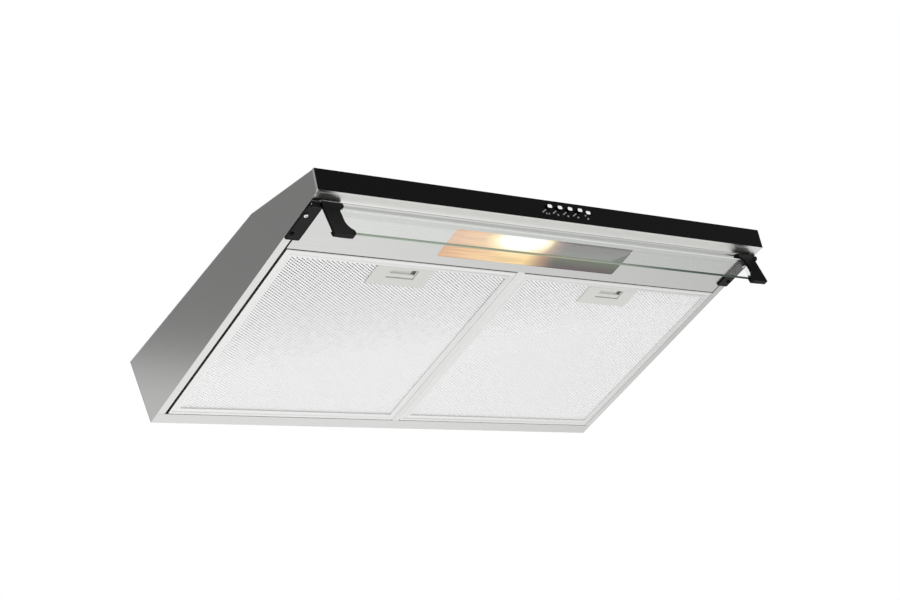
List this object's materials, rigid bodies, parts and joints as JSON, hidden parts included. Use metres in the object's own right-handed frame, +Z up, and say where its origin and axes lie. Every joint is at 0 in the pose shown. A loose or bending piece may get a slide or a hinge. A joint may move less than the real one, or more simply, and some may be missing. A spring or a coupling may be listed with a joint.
{
  "type": "wall mount range hood",
  "caption": "Slim wall mount range hood of folded sheet with a hinged glass visor, drop-down cassette filters, lamp, push buttons, blower and a top outlet with back-draft flaps.",
  "frame": {"origin": "middle of the back face's lower edge, on the wall plane, level with the underside of the rims", "axes": "+X to the right seen from the front, +Y into the wall, +Z up; the fascia faces -Y"},
  "size_m": [0.9, 0.5304, 0.2063],
  "materials": {
    "stainless_sheet": "brushed",
    "polished_flange": "bright rolled",
    "black_fascia": "satin black",
    "white_lacquer": "satin",
    "black_moulding": "fine textured",
    "visor_pane": "polished edge",
    "white_button": "gloss",
    "filter_aluminium": "bright",
    "grey_latch": "satin",
    "spring_steel": "bright",
    "lamp_lens": "satin",
    "reflector_sheet": "bright",
    "lamp_ceramic": "glazed",
    "bulb_envelope": "frosted",
    "bulb_brass": "plated",
    "blower_moulding": "moulded",
    "motor_paint": "satin",
    "core_steel": "laminated",
    "bright_steel": "turned",
    "bearing_bronze": "sintered",
    "zinc_screw": "zinc plated",
    "capacitor_case": "gloss",
    "loom_sleeve": "sleeved"
  },
  "bodies": {
    "hood": {"top_sheet": "stainless_sheet", "left_side_panel": "stainless_sheet", "right_side_panel": "stainless_sheet", "back_panel": "stainless_sheet", "front_rail": "polished_flange", "filter_divider": "white_lacquer", "fascia_panel": "black_fascia", "lamp_panel": "stainless_sheet", "lamp_cover": "lamp_lens", "lamp_reflector": "reflector_sheet", "lamp_holder": "lamp_ceramic", "bulb_cap": "bulb_brass", "bulb_glass": "bulb_envelope", "switch_block": "black_moulding", "visor_bracket_screws": "zinc_screw", "visor_hinge_pins": "bright_steel", "blower_housing": "blower_moulding", "blower_cover": "blower_moulding", "blower_screws": "zinc_screw", "motor_case": "motor_paint", "motor_stator": "core_steel", "motor_bearings": "bearing_bronze", "outlet_collar": "black_moulding", "collar_screws": "zinc_screw", "flap_pin": "bright_steel", "terminal_box": "black_moulding", "terminal_cover": "black_moulding", "run_capacitor": "capacitor_case", "cable_gland": "black_moulding", "wiring_loom": "loom_sleeve", "left_visor_bracket": "black_moulding", "left_strike_clip": "spring_steel", "right_visor_bracket": "black_moulding", "right_strike_clip": "spring_steel"},
    "visor": {"visor_glass": "visor_pane", "left_visor_arm": "black_moulding", "right_visor_arm": "black_moulding"},
    "blower_rotor": {"blower_wheel": "blower_moulding", "wheel_nut": "bearing_bronze", "motor_shaft": "bright_steel", "motor_rotor": "core_steel"},
    "left_filter": {"left_filter_frame": "filter_aluminium", "left_filter_mesh": "filter_aluminium", "left_latch_plate": "grey_latch"},
    "left_latch": {"left_latch_slider": "grey_latch"},
    "left_damper": {"left_flap": "black_moulding"},
    "right_filter": {"right_filter_frame": "filter_aluminium", "right_filter_mesh": "filter_aluminium", "right_latch_plate": "grey_latch"},
    "right_latch": {"right_latch_slider": "grey_latch"},
    "right_damper": {"right_flap": "black_moulding"},
    "stop_push": {"stop_button": "white_button"},
    "low_speed_push": {"low_speed_button": "white_button"},
    "mid_speed_push": {"mid_speed_button": "white_button"},
    "high_speed_push": {"high_speed_button": "white_button"},
    "lamp_push": {"lamp_button": "white_button"}
  },
  "joints": [
    {"name": "visor_hinge", "type": "hinge", "parent": "hood", "child": "visor", "pos_m": [0, -0.497, -0.005], "axis": [1, 0, 0], "range_deg": [0, 90]},
    {"name": "blower_spin", "type": "hinge", "parent": "hood", "child": "blower_rotor", "pos_m": [-0.175, -0.22, 0.05], "axis": [0, 0, 1], "continuous": true},
    {"name": "left_filter_swing", "type": "hinge", "parent": "hood", "child": "left_filter", "pos_m": [0, -0.0226, 0.0009], "axis": [1, 0, 0], "range_deg": [0, 65], "deforming": ["left_strike_clip"]},
    {"name": "left_latch_slide", "type": "slide", "parent": "left_filter", "child": "left_latch", "axis": [0, 1, 0], "range_m": [0, 0.008], "stiffness_N_per_m": 400, "springref_m": -0.002},
    {"name": "left_damper_hinge", "type": "hinge", "parent": "hood", "child": "left_damper", "pos_m": [0, -0.11, 0.12132], "axis": [0, 1, 0], "range_deg": [0, 78]},
    {"name": "right_filter_swing", "type": "hinge", "parent": "hood", "child": "right_filter", "pos_m": [0, -0.0226, 0.0009], "axis": [1, 0, 0], "range_deg": [0, 65], "deforming": ["right_strike_clip"]},
    {"name": "right_latch_slide", "type": "slide", "parent": "right_filter", "child": "right_latch", "axis": [0, 1, 0], "range_m": [0, 0.008], "stiffness_N_per_m": 400, "springref_m": -0.002},
    {"name": "right_damper_hinge", "type": "hinge", "parent": "hood", "child": "right_damper", "pos_m": [0, -0.11, 0.12132], "axis": [0, -1, 0], "range_deg": [0, 78]},
    {"name": "stop_press", "type": "slide", "parent": "hood", "child": "stop_push", "axis": [0, 0.9603, 0.2788], "range_m": [0, 0.0039], "stiffness_N_per_m": 600, "springref_m": -0.0008},
    {"name": "low_speed_press", "type": "slide", "parent": "hood", "child": "low_speed_push", "axis": [0, 0.9603, 0.2788], "range_m": [0, 0.0039], "stiffness_N_per_m": 600, "springref_m": -0.0008},
    {"name": "mid_speed_press", "type": "slide", "parent": "hood", "child": "mid_speed_push", "axis": [0, 0.9603, 0.2788], "range_m": [0, 0.0039], "stiffness_N_per_m": 600, "springref_m": -0.0008},
    {"name": "high_speed_press", "type": "slide", "parent": "hood", "child": "high_speed_push", "axis": [0, 0.9603, 0.2788], "range_m": [0, 0.0039], "stiffness_N_per_m": 600, "springref_m": -0.0008},
    {"name": "lamp_press", "type": "slide", "parent": "hood", "child": "lamp_push", "axis": [0, 0.9603, 0.2788], "range_m": [-0.0039, 0], "stiffness_N_per_m": 600, "springref_m": 0.0008}
  ]
}
